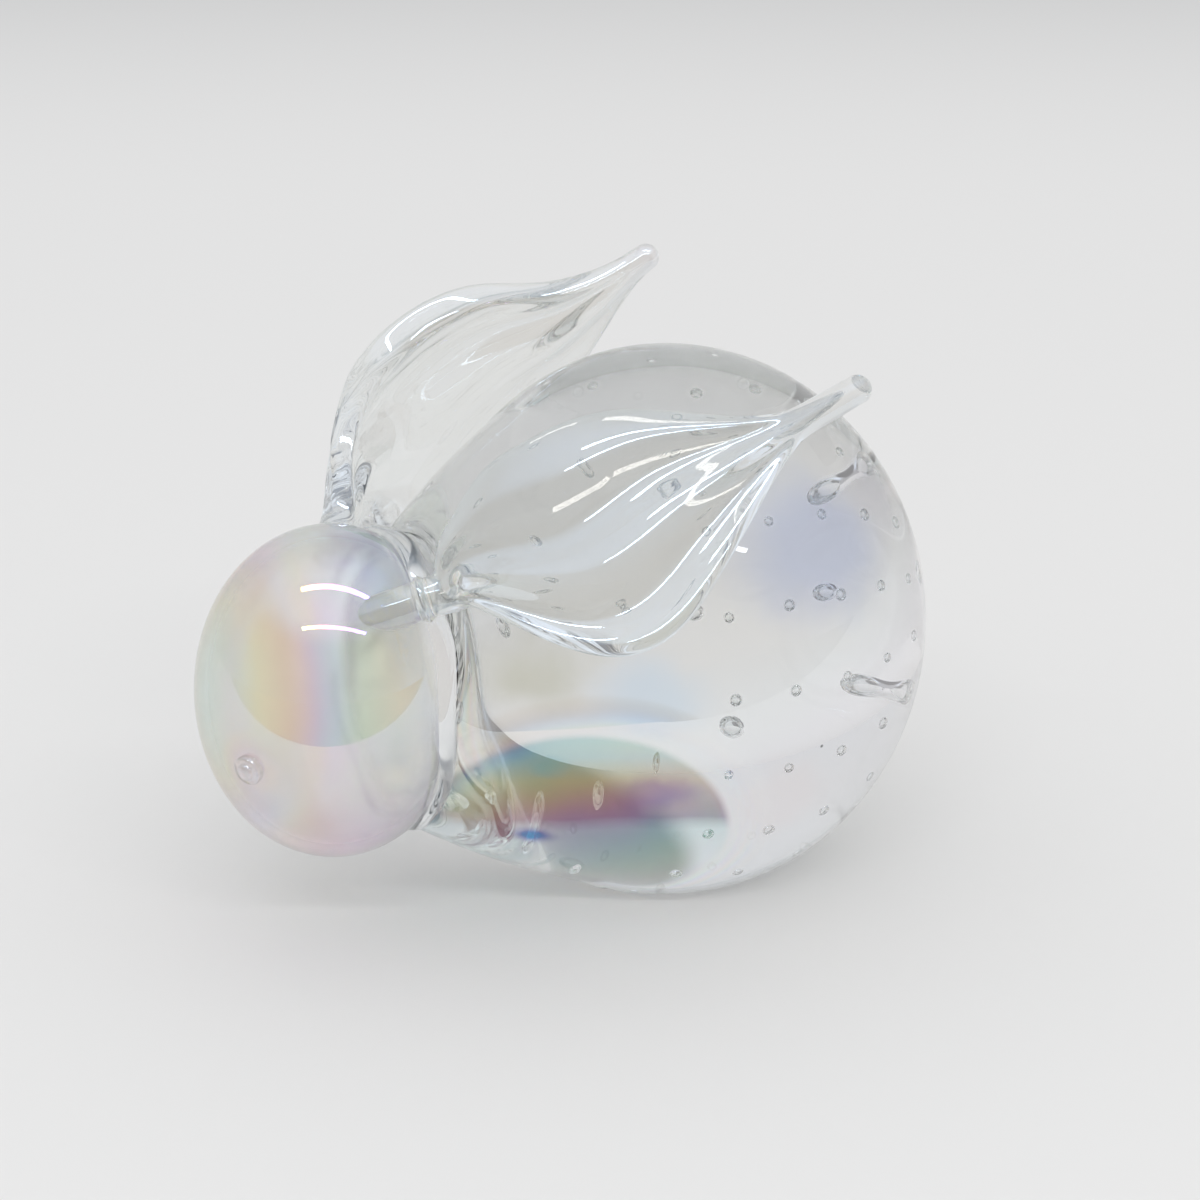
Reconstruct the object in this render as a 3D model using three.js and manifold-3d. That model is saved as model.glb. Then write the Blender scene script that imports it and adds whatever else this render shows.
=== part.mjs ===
// Glass rabbit figurine, hand worked from gathers of hot glass and fused piece to piece.
// Millimetres, +Z up. The origin is the centre of the ground flat under the body, the face looks
// towards -Y and the rabbit's left is +X.

import * as THREE from "three";
import { mergeVertices } from "three/addons/utils/BufferGeometryUtils.js";
import Module from "manifold-3d";

const wasm = await Module();
wasm.setup();

// Driving dimensions

// Body: a ball gathered along Y, drawn in to a cone at the chest, which cups the head, and ground flat underneath
const bodyRadius = 36;
const bodyHalfHeight = 38.5;
const bodyCentreHeight = 33.5;
const neckReach = 42;
const neckDroop = 3;
const chestBulge = 1;

// First gather inside the body, dimpled in rows so that the second gather traps a bubble over each dimple
const coreRadius = 28.5;
const coreNeckRadius = 9;
const bubbleRadius = 0.8;
const bubblesAround = 18;
const bubbleRows = 5;
const bubbleRowStep = THREE.MathUtils.degToRad(16);
const firstBubbleRow = THREE.MathUtils.degToRad(-14);

// Head: an upright blown egg, pressed into the cup of the chest as far as the setback behind its middle
const headRadius = 18;
const headHalfHeight = 22.4;
const headDrop = 0.5;
const headWall = 1.8;
const weldSetback = 9;
const chestLip = 0.9;

// Skirt of glass squeezed out around the joint of head and body
const collarReach = 1.8;
const collarThickness = 1.2;
const collarWave = 0.4;
const collarWaves = 7;

// Nose: a pip with a smaller button on it, which seals the head's blow hole low on the rabbit's left
const blowHoleRadius = 0.9;
const noseTurn = THREE.MathUtils.degToRad(28);
const noseDrop = THREE.MathUtils.degToRad(12);
const noseRadius = 2;
const noseSideHeight = 0.5;
const noseHeight = 1;
const noseShoulderRadius = 1.7;
const buttonRadius = 1.15;
const buttonTopRadius = 0.8;
const buttonHeight = 0.5;

// Ears: leaf blades on round stems, each welded to the head through a leaning drop of glass with a ring
const footRadius = 3.1;
const footRise = 0.7;
const footRingWidth = 0.5;
const stemRadius = 2.6;
const tipRadius = 1.9;

// Stand-off of the ears' middle lines from the ball: at the root, along the leaf and at the two tips
const rootStandOff = 12;
const leafStandOff = 10.5;
const leftTipStandOff = 12.5;
const rightTipStandOff = 17;

// Reach of each leaf from its middle line to its upper and its lower edge
const leftUpperReach = 17.3;
const leftLowerReach = 14.1;
const rightUpperReach = 12.4;
const rightLowerReach = 22;

// Across a blade, in shares of its reach: a rolled upper rim, a trough, a midrib, a crease and a lower lobe
const bladeHalfThickness = 1.7;
const bladeFold = 1.2;
const creaseShare = -0.15;
const crestPitch = 0.8;
const edgeFullness = 0.4;
const leafTaper = 1.5;

// The two ears were drawn out by hand and differ. An ear sits on the head at a turn from the back and a rise,
// and leans from there towards the back, in degrees. Shares count along the ear from its root: where the leaf
// reaches furthest and where it ends in a rod. The path after the stem gives bearing from the front and rise,
// in degrees seen from the middle of the ball. The upper edge of the blade lies towards the edge vector.
const ears = [
  {
    name: "left",
    side: 1,
    seatTurn: 79,
    seatRise: 42,
    lean: 48,
    tipStandOff: leftTipStandOff,
    upperReach: leftUpperReach,
    lowerReach: leftLowerReach,
    upperPeak: 0.34,
    lowerPeak: 0.38,
    bladeShare: 0.85,
    path: [[24.7, 22.1], [44.4, 27], [60.5, 37.5], [80.8, 44.9], [113.1, 49.4]],
    upperEdge: new THREE.Vector3(-0.66, -0.04, 0.75),
  },
  {
    name: "right",
    side: -1,
    seatTurn: 63,
    seatRise: 44,
    lean: 15,
    tipStandOff: rightTipStandOff,
    upperReach: rightUpperReach,
    lowerReach: rightLowerReach,
    upperPeak: 0.46,
    lowerPeak: 0.41,
    bladeShare: 1,
    path: [[29.2, 26.4], [54.9, 29], [74.2, 39.7], [93.6, 44.8], [118.3, 52.2]],
    upperEdge: new THREE.Vector3(0.06, -0.03, 1),
  },
];

// Clearance left between pieces that are fused on the real figurine
const weldGap = 0.3;

// Facets
const ballSegments = 48;
const ballSteps = 15;
const chestSteps = 4;
const headSegments = 24;
const headSteps = 14;
const smallSegments = 16;
const collarSegments = 48;
const collarSectionPoints = 8;
const earSections = 22;
const earSectionPoints = 24;
const earTipSteps = 3;

// Places worked out from the dimensions
const heightRatio = bodyHalfHeight / bodyRadius;
const headReach = neckReach + weldSetback;
const weldRadius = Math.sqrt(headRadius ** 2 - weldSetback ** 2);
const neckRadius = weldRadius + chestLip;
const bodyCentre = new THREE.Vector3(0, 0, bodyCentreHeight);
const headCentre = new THREE.Vector3(0, -headReach, bodyCentreHeight - headDrop);
const farAway = 4 * (bodyRadius + headReach);

// Solids and meshes

function solidFrom(geometry) {
  const bare = geometry.clone();
  bare.deleteAttribute("normal");
  bare.deleteAttribute("uv");
  const merged = mergeVertices(bare);
  return new wasm.Manifold(new wasm.Mesh({
    numProp: 3,
    vertProperties: new Float32Array(merged.attributes.position.array),
    triVerts: new Uint32Array(merged.index.array),
  }));
}

function geometryFrom(solid) {
  const { vertProperties, triVerts } = solid.getMesh();
  const geometry = new THREE.BufferGeometry();
  geometry.setAttribute("position", new THREE.BufferAttribute(vertProperties, 3));
  geometry.setIndex(new THREE.BufferAttribute(triVerts, 1));
  geometry.computeVertexNormals();
  return geometry;
}

function glassPiece(name, solid, colour) {
  const material = new THREE.MeshStandardMaterial({ color: colour, roughness: 0.05, metalness: 0 });
  const mesh = new THREE.Mesh(geometryFrom(solid), material);
  mesh.name = name;
  return mesh;
}

function boxFrom(low, high) {
  const size = new THREE.Vector3().subVectors(high, low);
  const middle = new THREE.Vector3().addVectors(low, high).multiplyScalar(0.5);
  const box = new THREE.BoxGeometry(size.x, size.y, size.z);
  box.translate(middle.x, middle.y, middle.z);
  return solidFrom(box);
}

// Body

// A ball about the Y axis whose front swells into a cone that droops to a flat face of the given radius.
function gather(radius, faceRadius, faceReach) {
  const reach = Math.hypot(faceRadius, faceReach);
  const tangentAngle = Math.atan2(-faceReach, faceRadius) + Math.acos(radius / reach);
  const face = new THREE.Vector2(faceRadius, -faceReach);
  const tangent = new THREE.Vector2(radius * Math.cos(tangentAngle), radius * Math.sin(tangentAngle));
  const profile = [new THREE.Vector2(0, -faceReach)];
  for (let step = 0; step < chestSteps; step += 1) {
    const share = step / chestSteps;
    const point = new THREE.Vector2().lerpVectors(face, tangent, share);
    point.x += chestBulge * Math.sin(Math.PI * share);
    profile.push(point);
  }
  for (let step = 0; step < ballSteps; step += 1) {
    const angle = THREE.MathUtils.lerp(tangentAngle, Math.PI / 2, step / ballSteps);
    profile.push(new THREE.Vector2(radius * Math.cos(angle), radius * Math.sin(angle)));
  }
  profile.push(new THREE.Vector2(0, radius));
  const geometry = new THREE.LatheGeometry(profile, ballSegments);
  geometry.scale(1, 1, heightRatio);
  droop(geometry);
  geometry.translate(bodyCentre.x, bodyCentre.y, bodyCentre.z);
  return solidFrom(geometry);
}

// The body swollen by the weld gap, for cutting what lies against it.
function bodyClearance() {
  return gather(bodyRadius + weldGap, neckRadius + weldGap, neckReach + weldGap);
}

// Lets everything in front of the ball's middle sink, most at the weld to the head.
function droop(geometry) {
  const position = geometry.attributes.position;
  for (let index = 0; index < position.count; index += 1) {
    const share = Math.max(0, -position.getY(index) / neckReach);
    position.setZ(index, position.getZ(index) - neckDroop * share ** 2);
  }
}

function bodyCore() {
  let core = gather(coreRadius, coreNeckRadius, neckReach);
  for (let row = 0; row < bubbleRows; row += 1) {
    const latitude = firstBubbleRow + row * bubbleRowStep;
    for (let column = 0; column < bubblesAround; column += 1) {
      const longitude = 2 * Math.PI * column / bubblesAround;
      const dimple = new THREE.IcosahedronGeometry(bubbleRadius, 0);
      dimple.translate(
        coreRadius * Math.cos(latitude) * Math.cos(longitude),
        coreRadius * Math.sin(latitude),
        heightRatio * coreRadius * Math.cos(latitude) * Math.sin(longitude),
      );
      droop(dimple);
      dimple.translate(bodyCentre.x, bodyCentre.y, bodyCentre.z);
      core = core.subtract(solidFrom(dimple));
    }
  }
  return core.subtract(egg(weldGap));
}

function bodyCasing() {
  const underside = boxFrom(
    new THREE.Vector3(-farAway, -farAway, -farAway),
    new THREE.Vector3(farAway, farAway, 0),
  );
  const seat = gather(coreRadius + weldGap, coreNeckRadius + weldGap, neckReach + weldGap);
  return gather(bodyRadius, neckRadius, neckReach).subtract(seat).subtract(egg(weldGap)).subtract(underside);
}

// Head, nose and collar

// The egg of the head, swollen by the given length or shrunk where that is below zero.
function egg(extra) {
  const geometry = new THREE.SphereGeometry(1, headSegments, headSteps);
  geometry.rotateX(Math.PI / 2);
  geometry.scale(headRadius + extra, headRadius + extra, headHalfHeight + extra);
  geometry.translate(headCentre.x, headCentre.y, headCentre.z);
  return solidFrom(geometry);
}

// Point on the egg and the way out of it there, for a turn from its back to the rabbit's left and a rise.
function eggSeat(turn, rise) {
  const across = headRadius * Math.cos(rise);
  const offset = new THREE.Vector3(
    across * Math.sin(turn), across * Math.cos(turn), headHalfHeight * Math.sin(rise),
  );
  const outward = new THREE.Vector3(
    offset.x / headRadius ** 2, offset.y / headRadius ** 2, offset.z / headHalfHeight ** 2,
  );
  return { point: offset.add(headCentre), outward: outward.normalize() };
}

function noseSeat() {
  return eggSeat(Math.PI - noseTurn, -noseDrop);
}

// A turned shape standing through the egg's surface, from which its profile's heights count.
function turnedAt(seat, profile) {
  const points = profile.map(([across, height]) => new THREE.Vector2(across, height));
  const geometry = new THREE.LatheGeometry(points, smallSegments);
  const upright = new THREE.Vector3(0, 1, 0);
  geometry.applyQuaternion(new THREE.Quaternion().setFromUnitVectors(upright, seat.outward));
  geometry.translate(seat.point.x, seat.point.y, seat.point.z);
  return solidFrom(geometry);
}

function head() {
  const blowHole = turnedAt(noseSeat(), [
    [0, -2 * headWall],
    [blowHoleRadius, -2 * headWall],
    [blowHoleRadius, headWall],
    [0, headWall],
  ]);
  return egg(0).subtract(egg(-headWall)).subtract(blowHole);
}

function nose() {
  const rim = weldGap + noseHeight;
  const pip = turnedAt(noseSeat(), [
    [0, -noseRadius],
    [noseRadius, -noseRadius],
    [noseRadius, weldGap + noseSideHeight],
    [noseShoulderRadius, rim],
    [buttonRadius, rim],
    [buttonTopRadius, rim + buttonHeight],
    [0, rim + buttonHeight],
  ]);
  return pip.subtract(egg(weldGap));
}

// The skirt runs around the rim where the weld plane cuts the egg, with a wavering edge.
function collar() {
  const profile = [];
  for (let step = 0; step <= collarSectionPoints; step += 1) {
    const angle = 2 * Math.PI * step / collarSectionPoints;
    profile.push(new THREE.Vector2(
      weldRadius + collarThickness * Math.cos(angle),
      -neckReach + collarReach * Math.sin(angle),
    ));
  }
  const ring = new THREE.LatheGeometry(profile, collarSegments);
  const position = ring.attributes.position;
  for (let index = 0; index < position.count; index += 1) {
    const bearing = Math.atan2(position.getX(index), position.getZ(index));
    position.setY(index, position.getY(index) + collarWave * Math.sin(collarWaves * bearing));
  }
  ring.scale(1, 1, headHalfHeight / headRadius);
  ring.translate(headCentre.x, bodyCentre.y, headCentre.z);
  let skirt = solidFrom(ring).subtract(egg(weldGap)).subtract(bodyClearance());
  for (const design of ears) {
    skirt = skirt.subtract(footBlank(design, weldGap));
  }
  return skirt;
}

// Ears

// The ear's seat on the egg, with its way out leaning from the egg's own towards the rabbit's back.
function earSeat(design) {
  const turn = THREE.MathUtils.degToRad(design.seatTurn);
  const rise = THREE.MathUtils.degToRad(design.seatRise);
  const lean = THREE.MathUtils.degToRad(design.lean);
  const { point, outward } = eggSeat(design.side * turn, rise);
  const back = new THREE.Vector3(0, 1, 0).addScaledVector(outward, -outward.y).normalize();
  return { point, outward: outward.multiplyScalar(Math.cos(lean)).addScaledVector(back, Math.sin(lean)) };
}

// Length of the foot along its lean at which the low side of its round top stands clear of the egg.
function footHeight(design) {
  const lean = THREE.MathUtils.degToRad(design.lean);
  return weldGap + (footRise + footRadius * Math.sin(lean)) / Math.cos(lean);
}

// The drop of glass that an ear stands on, with a ring at its top, before it is cut to the egg.
function footBlank(design, extra) {
  const top = footHeight(design) + extra;
  return turnedAt(earSeat(design), [
    [0, -2 * footRadius],
    [stemRadius + extra, -2 * footRadius],
    [stemRadius + extra, top - 3 * footRingWidth],
    [footRadius + extra, top - footRingWidth],
    [stemRadius + extra, top],
    [0, top],
  ]);
}

function earFoot(design) {
  return footBlank(design, 0).subtract(egg(weldGap)).subtract(bodyClearance());
}

// Stand-off from the ball at a share of the path: the leaf's, drawn off to the root's and the tip's.
function standOffAt(design, share) {
  const fromRoot = (rootStandOff - leafStandOff) * (1 - share) ** 4;
  const fromTip = (design.tipStandOff - leafStandOff) * share ** 8;
  return leafStandOff + fromRoot + fromTip;
}

function earMiddleLine(design) {
  const seat = earSeat(design);
  const root = seat.outward.clone().multiplyScalar(footHeight(design) + weldGap).add(seat.point);
  const stemEnd = seat.outward.clone().multiplyScalar(stemRadius).add(root);
  const leaf = design.path.map(([bearingDegrees, riseDegrees], index) => {
    const bearing = THREE.MathUtils.degToRad(bearingDegrees);
    const rise = THREE.MathUtils.degToRad(riseDegrees);
    const reach = bodyRadius + standOffAt(design, index / (design.path.length - 1));
    return new THREE.Vector3(
      design.side * reach * Math.cos(rise) * Math.sin(bearing),
      -reach * Math.cos(rise) * Math.cos(bearing),
      heightRatio * reach * Math.sin(rise),
    ).add(bodyCentre);
  });
  return new THREE.CatmullRomCurve3([root, stemEnd, ...leaf], false, "centripetal");
}

function rodRadiusAt(share) {
  return THREE.MathUtils.lerp(stemRadius, tipRadius, share);
}

// Reach of one edge along the ear: a leaf with its peak at the given share, on a round rod drawn to the tip.
function edgeReachAt(design, share, fullReach, peakShare) {
  const alongBlade = Math.min(share / design.bladeShare, 1);
  const skew = Math.log(0.5) / Math.log(peakShare / design.bladeShare);
  const leaf = fullReach * Math.sin(Math.PI * alongBlade ** skew) ** leafTaper;
  return Math.hypot(rodRadiusAt(share), leaf);
}

// Height of the folded blade at a share of its reach from the middle line towards the upper edge.
function foldAt(across, fullness) {
  return -bladeFold * fullness * Math.cos(2 * Math.PI * (across - creaseShare) / crestPitch);
}

// A section stands square to the rod, and square to the ear as a whole where the blade is wide.
function earSectionAt(design, curve, share, shrink) {
  const centre = curve.getPointAt(share);
  const wholeEar = new THREE.Vector3().subVectors(curve.getPointAt(1), curve.getPointAt(0)).normalize();
  const upper = edgeReachAt(design, share, design.upperReach, design.upperPeak);
  const lower = edgeReachAt(design, share, design.lowerReach, design.lowerPeak);
  const rod = rodRadiusAt(share);
  const spread = 1 - 2 * rod / (upper + lower);
  const along = curve.getTangentAt(share).lerp(wholeEar, spread).normalize();
  const edge = design.upperEdge.clone().addScaledVector(along, -design.upperEdge.dot(along)).normalize();
  const face = new THREE.Vector3().crossVectors(edge, along);
  const fullness = spread ** 2;
  const halfThickness = THREE.MathUtils.lerp(rod, bladeHalfThickness, fullness);
  const section = [];
  for (let step = 0; step < earSectionPoints; step += 1) {
    const angle = 2 * Math.PI * step / earSectionPoints;
    const across = Math.cos(angle);
    const roundness = 1 - edgeFullness * fullness;
    const thick = Math.sign(Math.sin(angle)) * Math.abs(Math.sin(angle)) ** roundness;
    const reach = THREE.MathUtils.lerp(lower, upper, (1 + across) / 2);
    const point = centre.clone();
    point.addScaledVector(edge, shrink * reach * across);
    point.addScaledVector(face, shrink * (halfThickness * thick + foldAt(across, fullness)));
    section.push(point);
  }
  return section;
}

function ear(design) {
  const curve = earMiddleLine(design);
  const capShare = tipRadius / curve.getLength();
  const stations = [];
  for (let index = 0; index <= earSections; index += 1) {
    stations.push({ share: (1 - capShare) * index / earSections, shrink: 1 });
  }
  for (let step = 1; step < earTipSteps; step += 1) {
    const angle = Math.PI / 2 * step / earTipSteps;
    stations.push({ share: 1 - capShare * (1 - Math.sin(angle)), shrink: Math.cos(angle) });
  }
  const points = stations.flatMap(({ share, shrink }) => earSectionAt(design, curve, share, shrink));
  const triangles = [];
  for (let ring = 0; ring + 1 < stations.length; ring += 1) {
    for (let step = 0; step < earSectionPoints; step += 1) {
      const here = ring * earSectionPoints + step;
      const beside = ring * earSectionPoints + (step + 1) % earSectionPoints;
      triangles.push(here, here + earSectionPoints, beside);
      triangles.push(beside, here + earSectionPoints, beside + earSectionPoints);
    }
  }
  const rootCentre = points.push(curve.getPointAt(0)) - 1;
  const tipPoint = points.push(curve.getPointAt(1)) - 1;
  const lastRing = (stations.length - 1) * earSectionPoints;
  for (let step = 0; step < earSectionPoints; step += 1) {
    const next = (step + 1) % earSectionPoints;
    triangles.push(rootCentre, step, next);
    triangles.push(tipPoint, lastRing + next, lastRing + step);
  }
  const geometry = new THREE.BufferGeometry().setFromPoints(points);
  geometry.setIndex(triangles);
  return solidFrom(geometry);
}

// Assembly

const clearGlass = 0xe9efef;
const pearlGlass = 0xd9d6df;
const rabbit = new THREE.Group();
rabbit.add(glassPiece("body_core", bodyCore(), clearGlass));
rabbit.add(glassPiece("body_casing", bodyCasing(), pearlGlass));
rabbit.add(glassPiece("head", head(), pearlGlass));
rabbit.add(glassPiece("nose", nose(), pearlGlass));
rabbit.add(glassPiece("neck_collar", collar(), pearlGlass));
for (const design of ears) {
  rabbit.add(glassPiece(`ear_foot_${design.name}`, earFoot(design), clearGlass));
  rabbit.add(glassPiece(`ear_${design.name}`, ear(design), clearGlass));
}

export default rabbit;
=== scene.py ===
"""Looks of the glass rabbit figurine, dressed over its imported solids.

Lengths are in metres, in the frame of the solids: +Z is up, the face looks towards -Y and the rabbit's left
is +X. Each glass piece is a surface worked out on a grid. The faces where two pieces are fused carry a weld
finish that light passes straight through, so a joint looks as if it had melted together.
"""

import logging
import math
from dataclasses import dataclass, field
from enum import Enum
from typing import Sequence

import bmesh
import bpy
import numpy as np
from mathutils import Matrix


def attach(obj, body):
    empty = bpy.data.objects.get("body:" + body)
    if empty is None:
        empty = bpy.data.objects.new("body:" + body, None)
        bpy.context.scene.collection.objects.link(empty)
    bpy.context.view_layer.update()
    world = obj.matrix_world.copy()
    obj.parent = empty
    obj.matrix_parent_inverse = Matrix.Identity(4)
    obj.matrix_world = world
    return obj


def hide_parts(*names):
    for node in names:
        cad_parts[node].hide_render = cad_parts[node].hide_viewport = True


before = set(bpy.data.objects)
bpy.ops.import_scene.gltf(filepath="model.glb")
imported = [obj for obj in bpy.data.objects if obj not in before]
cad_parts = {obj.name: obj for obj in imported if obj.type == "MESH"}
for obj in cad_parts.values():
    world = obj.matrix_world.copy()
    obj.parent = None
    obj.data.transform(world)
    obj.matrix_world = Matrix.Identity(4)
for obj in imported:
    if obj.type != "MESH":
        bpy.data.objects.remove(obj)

LOG = logging.getLogger("glass_rabbit")
MM = 0.001
BODY_NAME = "root"

# Thickest film that a ramp can hold, in nanometres
MOST_FILM = 600.0
# Noise that bends the tints, and noise that frays the outline of a patch
WAVER_NOISE = {"Scale": 60.0, "Detail": 2.0}
FRAY_NOISE = {"Scale": 140.0, "Detail": 3.0}
NOISE_MIDDLE = (0.5, 0.5, 0.5)
# Folds sharper than these are shaded as edges
WELD_CREASE = math.radians(50)
FLAT_CREASE = math.radians(40)
# Turned pieces: rows in the open, how far down to the seat the hidden rows lie, a direction no seat faces
TURNING_ROWS = 48
SINK_SHARES = (0.3, 0.7)
TURNING_START = (0.3, 0.2, 1.0)
# A paint that mirrors nothing
MATT = {"Roughness": 1.0, "Specular IOR Level": 0.0}
# How often light may pass or be mirrored on its way through the glass
MOST_PASSES = 32
MOST_MIRRORINGS = 16

Values = np.ndarray | float
Point = tuple[float, float, float]
Colour = tuple[float, float, float]
Stop = tuple[float, Colour]
FilmStop = tuple[float, float]
Inputs = dict[str | int, object]
Socket = bpy.types.NodeSocket


class Band(Enum):
    """Which finish a band of faces takes."""

    GLASS = 0
    WELD = 1
    INSIDE = 2
    GROUND = 3
    HOLLOW = 4


class Slot(Enum):
    """Names of the material slots."""

    CLEAR = "clear_glass"
    PEARL = "pearl_glass"


Finishes = dict[Band, bpy.types.Material]


# Numbers and vectors


def mm(first: float, second: float, third: float) -> Point:
    """Returns three lengths given in millimetres as metres."""
    return first * MM, second * MM, third * MM


def unit(vectors: np.ndarray) -> np.ndarray:
    """Returns vectors scaled to length one along their last axis."""
    return vectors / np.linalg.norm(vectors, axis=-1, keepdims=True)


def blend(start: Values, end: Values, share: Values) -> Values:
    """Returns the straight mix of start and end."""
    return start + (end - start) * share


def round_turn(count: int) -> np.ndarray:
    """Returns that many even angles round a full turn."""
    return np.linspace(0, 2 * np.pi, count, endpoint=False)


def smooth_path(points: np.ndarray, steps: int) -> np.ndarray:
    """Draws a centripetal Catmull-Rom curve through points.

    Each stretch is a cubic between two points whose end slopes come from the neighbours, weighted by the
    square root of the distances, and the points past both ends are mirrored.

    Args:
        points: Points to pass through, one row each.
        steps: Samples on each stretch.

    Returns:
        Samples along the curve, one row each, evenly spaced in length.
    """
    ends = np.vstack([2 * points[0] - points[1], points, 2 * points[-1] - points[-2]])
    knots = np.sqrt(np.linalg.norm(np.diff(ends, axis=0), axis=1))[:, None]
    before, here, after = knots[:-2], knots[1:-1], knots[2:]
    first, start, end, last = ends[:-3], ends[1:-2], ends[2:-1], ends[3:]
    leave = (start - first) / before - (end - first) / (before + here) + (end - start) / here
    arrive = (end - start) / here - (last - start) / (here + after) + (last - end) / after
    share = np.linspace(0, 1, steps, endpoint=False)[:, None, None]
    square, cube = share ** 2, share ** 3
    cubic = (
        (2 * cube - 3 * square + 1) * start
        + (cube - 2 * square + share) * leave * here
        + (3 * square - 2 * cube) * end
        + (cube - square) * arrive * here
    )
    dense = np.vstack([cubic.transpose(1, 0, 2).reshape(-1, 3), points[-1]])
    return evenly(dense, len(dense))


def rows_at(wanted: np.ndarray, given: np.ndarray, rows: np.ndarray) -> np.ndarray:
    """Returns rows at the wanted places, drawn straight between the given ones."""
    return np.stack([np.interp(wanted, given, column) for column in rows.T], axis=1)


def evenly(points: np.ndarray, count: int) -> np.ndarray:
    """Returns that many points at even lengths along a line of points."""
    length = np.concatenate([[0], np.cumsum(np.linalg.norm(np.diff(points, axis=0), axis=1))])
    return rows_at(np.linspace(0, length[-1], count), length, points)


def draw_to_edge(rings: np.ndarray, level: np.ndarray, shown: int, hidden: int) -> np.ndarray:
    """Redraws the columns of a grid so that one ring lies where they sink into another piece.

    Along each column the place where the level falls through zero is found by straight interpolation, and the
    rows are spread evenly before it and after it.

    Args:
        rings: Closely spaced rows of points, from the end in the open to the sunk one.
        level: One number for each point, below zero where it is sunk.
        shown: Rows in the open, the last of them on the edge.
        hidden: Rows past the edge.

    Returns:
        The new rows.
    """
    column = np.arange(rings.shape[1])
    sunk = np.argmax(level < 0, axis=0)
    above, below = level[sunk - 1, column], level[sunk, column]
    edge = sunk - 1 + above / (above - below)
    last = len(rings) - 1
    before = np.linspace(0, 1, shown)[:, None] * edge
    after = blend(edge, last, np.linspace(0, 1, hidden + 1)[1:, None])
    wanted = np.concatenate([before, after])
    low = np.minimum(wanted.astype(int), last - 1)
    return blend(rings[low, column], rings[low + 1, column], (wanted - low)[..., None])


# Meshes


@dataclass
class Sheet:
    """Faces over points, as whole arrays.

    Attributes:
        points: Positions, one row each.
        quads: Corners of the four-sided faces.
        triangles: Corners of the three-sided faces.
        quad_bands: Finish of each four-sided face.
        triangle_bands: Finish of each three-sided face.
    """

    points: np.ndarray
    quads: np.ndarray
    triangles: np.ndarray
    quad_bands: np.ndarray
    triangle_bands: np.ndarray

    @classmethod
    def of_quads(cls, points: np.ndarray, quads: np.ndarray, bands: np.ndarray) -> "Sheet":
        """Returns a sheet of four-sided faces alone."""
        return cls(points, quads, np.zeros((0, 3), dtype=int), bands, np.zeros(0))

    def facing(self, outward: bool) -> "Sheet":
        """Returns the faces turned out of the space that they enclose, or into it."""
        corners = self.points[np.vstack([self.triangles, self.quads[:, [0, 1, 2]], self.quads[:, [0, 2, 3]]])]
        volume = np.einsum("ij,ij->", corners[:, 0], np.cross(corners[:, 1], corners[:, 2]))
        if (volume > 0) == outward:
            return self
        return Sheet(
            self.points, self.quads[:, ::-1], self.triangles[:, ::-1], self.quad_bands, self.triangle_bands
        )

    def copies(self, centres: np.ndarray, sizes: np.ndarray) -> "Sheet":
        """Returns a copy at each centre, each scaled by its size."""
        count = len(centres)
        points = centres[:, None] + sizes[:, None, None] * self.points
        shift = (np.arange(count) * len(self.points))[:, None, None]
        return Sheet(
            points.reshape(-1, 3),
            (self.quads + shift).reshape(-1, 4),
            (self.triangles + shift).reshape(-1, 3),
            np.tile(self.quad_bands, count),
            np.tile(self.triangle_bands, count),
        )

    def joined(self, other: "Sheet") -> "Sheet":
        """Returns both as one sheet."""
        shift = len(self.points)
        return Sheet(
            np.vstack([self.points, other.points]),
            np.vstack([self.quads, other.quads + shift]),
            np.vstack([self.triangles, other.triangles + shift]),
            np.concatenate([self.quad_bands, other.quad_bands]),
            np.concatenate([self.triangle_bands, other.triangle_bands]),
        )

    def mesh(self, name: str) -> bpy.types.Mesh:
        """Puts the arrays into a mesh.

        Args:
            name: Name of the mesh.

        Returns:
            The mesh, shaded smooth, with the band of each face as its material index.
        """
        mesh = bpy.data.meshes.new(name)
        mesh.vertices.add(len(self.points))
        mesh.vertices.foreach_set("co", self.points.astype(np.float32).ravel())
        corners = np.concatenate([self.quads.ravel(), self.triangles.ravel()]).astype(np.int32)
        sizes = np.repeat([4, 3], [len(self.quads), len(self.triangles)])
        bands = np.concatenate([self.quad_bands, self.triangle_bands])
        mesh.loops.add(len(corners))
        mesh.loops.foreach_set("vertex_index", corners)
        mesh.polygons.add(len(sizes))
        mesh.polygons.foreach_set("loop_start", (np.cumsum(sizes) - sizes).astype(np.int32))
        mesh.polygons.foreach_set("material_index", bands.astype(np.int32))
        mesh.polygons.foreach_set("use_smooth", np.ones(len(sizes), dtype=bool))
        mesh.update(calc_edges=True)
        mesh.validate()
        return mesh


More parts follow.
